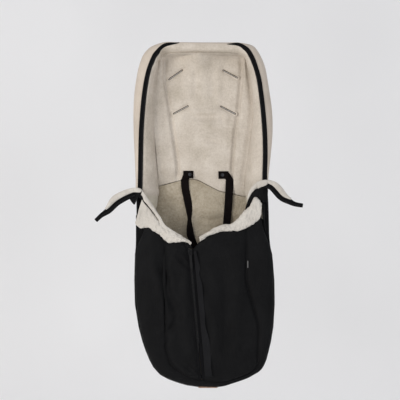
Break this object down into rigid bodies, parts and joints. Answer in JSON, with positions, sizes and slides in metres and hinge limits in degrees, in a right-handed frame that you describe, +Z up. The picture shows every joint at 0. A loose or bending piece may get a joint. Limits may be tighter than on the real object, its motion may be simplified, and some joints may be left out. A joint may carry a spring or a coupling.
{
  "type": "stroller footmuff",
  "caption": "Padded footmuff for a pushchair seat: open fleece-lined scoop above, zipped front cover with sherpa cuff below, harness slots in the back.",
  "frame": {"origin": "middle of the head end's top edge, in the plane of the flat back, where it hangs", "axes": "+Z up along the length from the foot to the head, +X to the right as seen from the front, -Y out of the front; the flat back lies in the plane Y = 0"},
  "size_m": [0.5393, 0.127, 0.9434],
  "materials": {
    "black_cloth": "woven black cloth",
    "cream_fleece": "cream fleece and cream cloth",
    "seat_fleece": "darker fleece",
    "white_sherpa": "long white pile",
    "filling": "soft white filling",
    "zip_cloth": "woven tape",
    "zip_teeth": "moulded teeth",
    "webbing": "woven webbing",
    "dark_metal": "dark satin plating",
    "tan_leather": "smooth tan leather",
    "bare_tab": "plain woven tab"
  },
  "bodies": {
    "main": {"back_panel": "black_cloth", "body_wall_shell": "black_cloth", "surround_shell": "black_cloth", "back_lining": "cream_fleece", "hood_wall_shell": "cream_fleece", "hood_wall_lining": "cream_fleece", "surround_lining": "cream_fleece", "slot_binding_upper_left": "cream_fleece", "slot_binding_upper_right": "cream_fleece", "slot_binding_lower_left": "cream_fleece", "slot_binding_lower_right": "cream_fleece", "seat_lining": "seat_fleece", "body_wall_lining": "seat_fleece", "cuff_end_left": "white_sherpa", "cuff_end_right": "white_sherpa", "back_wadding": "filling", "hood_wall_wadding": "filling", "body_wall_wadding": "filling", "surround_wadding": "filling", "hood_zip_tape_left": "zip_cloth", "hood_zip_tape_right": "zip_cloth", "cover_zip_tape_left": "zip_cloth", "cover_zip_tape_right": "zip_cloth", "hood_zip_coil_left": "zip_teeth", "hood_zip_coil_right": "zip_teeth", "cover_zip_coil_left": "zip_teeth", "cover_zip_coil_right": "zip_teeth", "strap_tab_left": "webbing", "strap_tab_right": "webbing", "snap_cap_left": "dark_metal", "snap_cap_right": "dark_metal", "foot_tab": "tan_leather", "seam_tab": "bare_tab"},
    "cover_left": {"cover_shell_left": "black_cloth", "cover_wadding_left": "filling", "cover_lining_left": "cream_fleece", "cuff_left": "white_sherpa", "centre_zip_tape_left": "zip_cloth", "centre_zip_coil_left": "zip_teeth"},
    "cover_right": {"cover_shell_right": "black_cloth", "cover_wadding_right": "filling", "cover_lining_right": "cream_fleece", "cuff_right": "white_sherpa", "centre_zip_tape_right": "zip_cloth", "centre_zip_coil_right": "zip_teeth"},
    "flap": {"storm_flap": "black_cloth"},
    "centre_slide_body": {"centre_slider": "dark_metal"},
    "centre_pull": {"centre_puller": "dark_metal"},
    "slide_left": {"side_slider_left": "dark_metal"},
    "pull_left": {"side_puller_left": "dark_metal"},
    "slide_right": {"side_slider_right": "dark_metal"},
    "pull_right": {"side_puller_right": "dark_metal"},
    "wing_left": {"wing_shell_left": "black_cloth", "wing_fleece_left": "white_sherpa", "wing_zip_left": "zip_teeth"},
    "wing_right": {"wing_shell_right": "black_cloth", "wing_fleece_right": "white_sherpa", "wing_zip_right": "zip_teeth"},
    "strap_left_body": {"strap_left": "webbing"},
    "strap_right_body": {"strap_right": "webbing"}
  },
  "joints": [
    {"name": "cover_left_fold", "type": "hinge", "parent": "main", "child": "cover_left", "pos_m": [-0.11213, -0.12425, -0.70359], "axis": [0, 0, -1], "range_deg": [0, 110]},
    {"name": "cover_right_fold", "type": "hinge", "parent": "main", "child": "cover_right", "pos_m": [0.14707, -0.12425, -0.70359], "axis": [0, 0, 1], "range_deg": [0, 110]},
    {"name": "storm_flap_fold", "type": "hinge", "parent": "cover_right", "child": "flap", "pos_m": [-0.01491, -0.12156, -0.70359], "axis": [0.0902, 0, -0.9959], "range_deg": [0, 110]},
    {"name": "centre_slider_run", "type": "slide", "parent": "cover_left", "child": "centre_slide_body", "axis": [0.0902, 0, -0.9959], "range_m": [0, 0.255]},
    {"name": "centre_puller_swing", "type": "hinge", "parent": "centre_slide_body", "child": "centre_pull", "pos_m": [-0.03721, -0.12201, -0.56783], "axis": [-0.9959, 0, -0.0902], "range_deg": [0, 150]},
    {"name": "side_slider_run_left", "type": "slide", "parent": "main", "child": "slide_left", "axis": [0.026, 0, 0.9997], "range_m": [0, 0.2]},
    {"name": "side_slider_run_right", "type": "slide", "parent": "main", "child": "slide_right", "axis": [-0.0342, 0, 0.9994], "range_m": [0, 0.2]},
    {"name": "side_puller_swing_left", "type": "hinge", "parent": "slide_left", "child": "pull_left", "pos_m": [-0.16613, -0.0893, -0.44664], "axis": [-0.9997, 0, 0.026], "range_deg": [0, 15]},
    {"name": "side_puller_swing_right", "type": "hinge", "parent": "slide_right", "child": "pull_right", "pos_m": [0.16045, -0.0893, -0.44669], "axis": [-0.9994, 0, -0.0342], "range_deg": [0, 100]},
    {"name": "wing_left_swing", "type": "hinge", "parent": "main", "child": "wing_left", "pos_m": [-0.18103, -0.1085, -0.41059], "axis": [0, 1, 0], "range_deg": [-30, 60]},
    {"name": "wing_right_swing", "type": "hinge", "parent": "main", "child": "wing_right", "pos_m": [0.15691, -0.1085, -0.40702], "axis": [0, -1, 0], "range_deg": [-30, 60]},
    {"name": "strap_left_swing", "type": "hinge", "parent": "main", "child": "strap_left_body", "pos_m": [-0.0525, -0.0262, -0.37177], "axis": [-1, 0, 0], "range_deg": [0, 12]},
    {"name": "strap_right_swing", "type": "hinge", "parent": "main", "child": "strap_right_body", "pos_m": [0.07102, -0.028, -0.37271], "axis": [-1, 0, 0], "range_deg": [0, 12]}
  ]
}
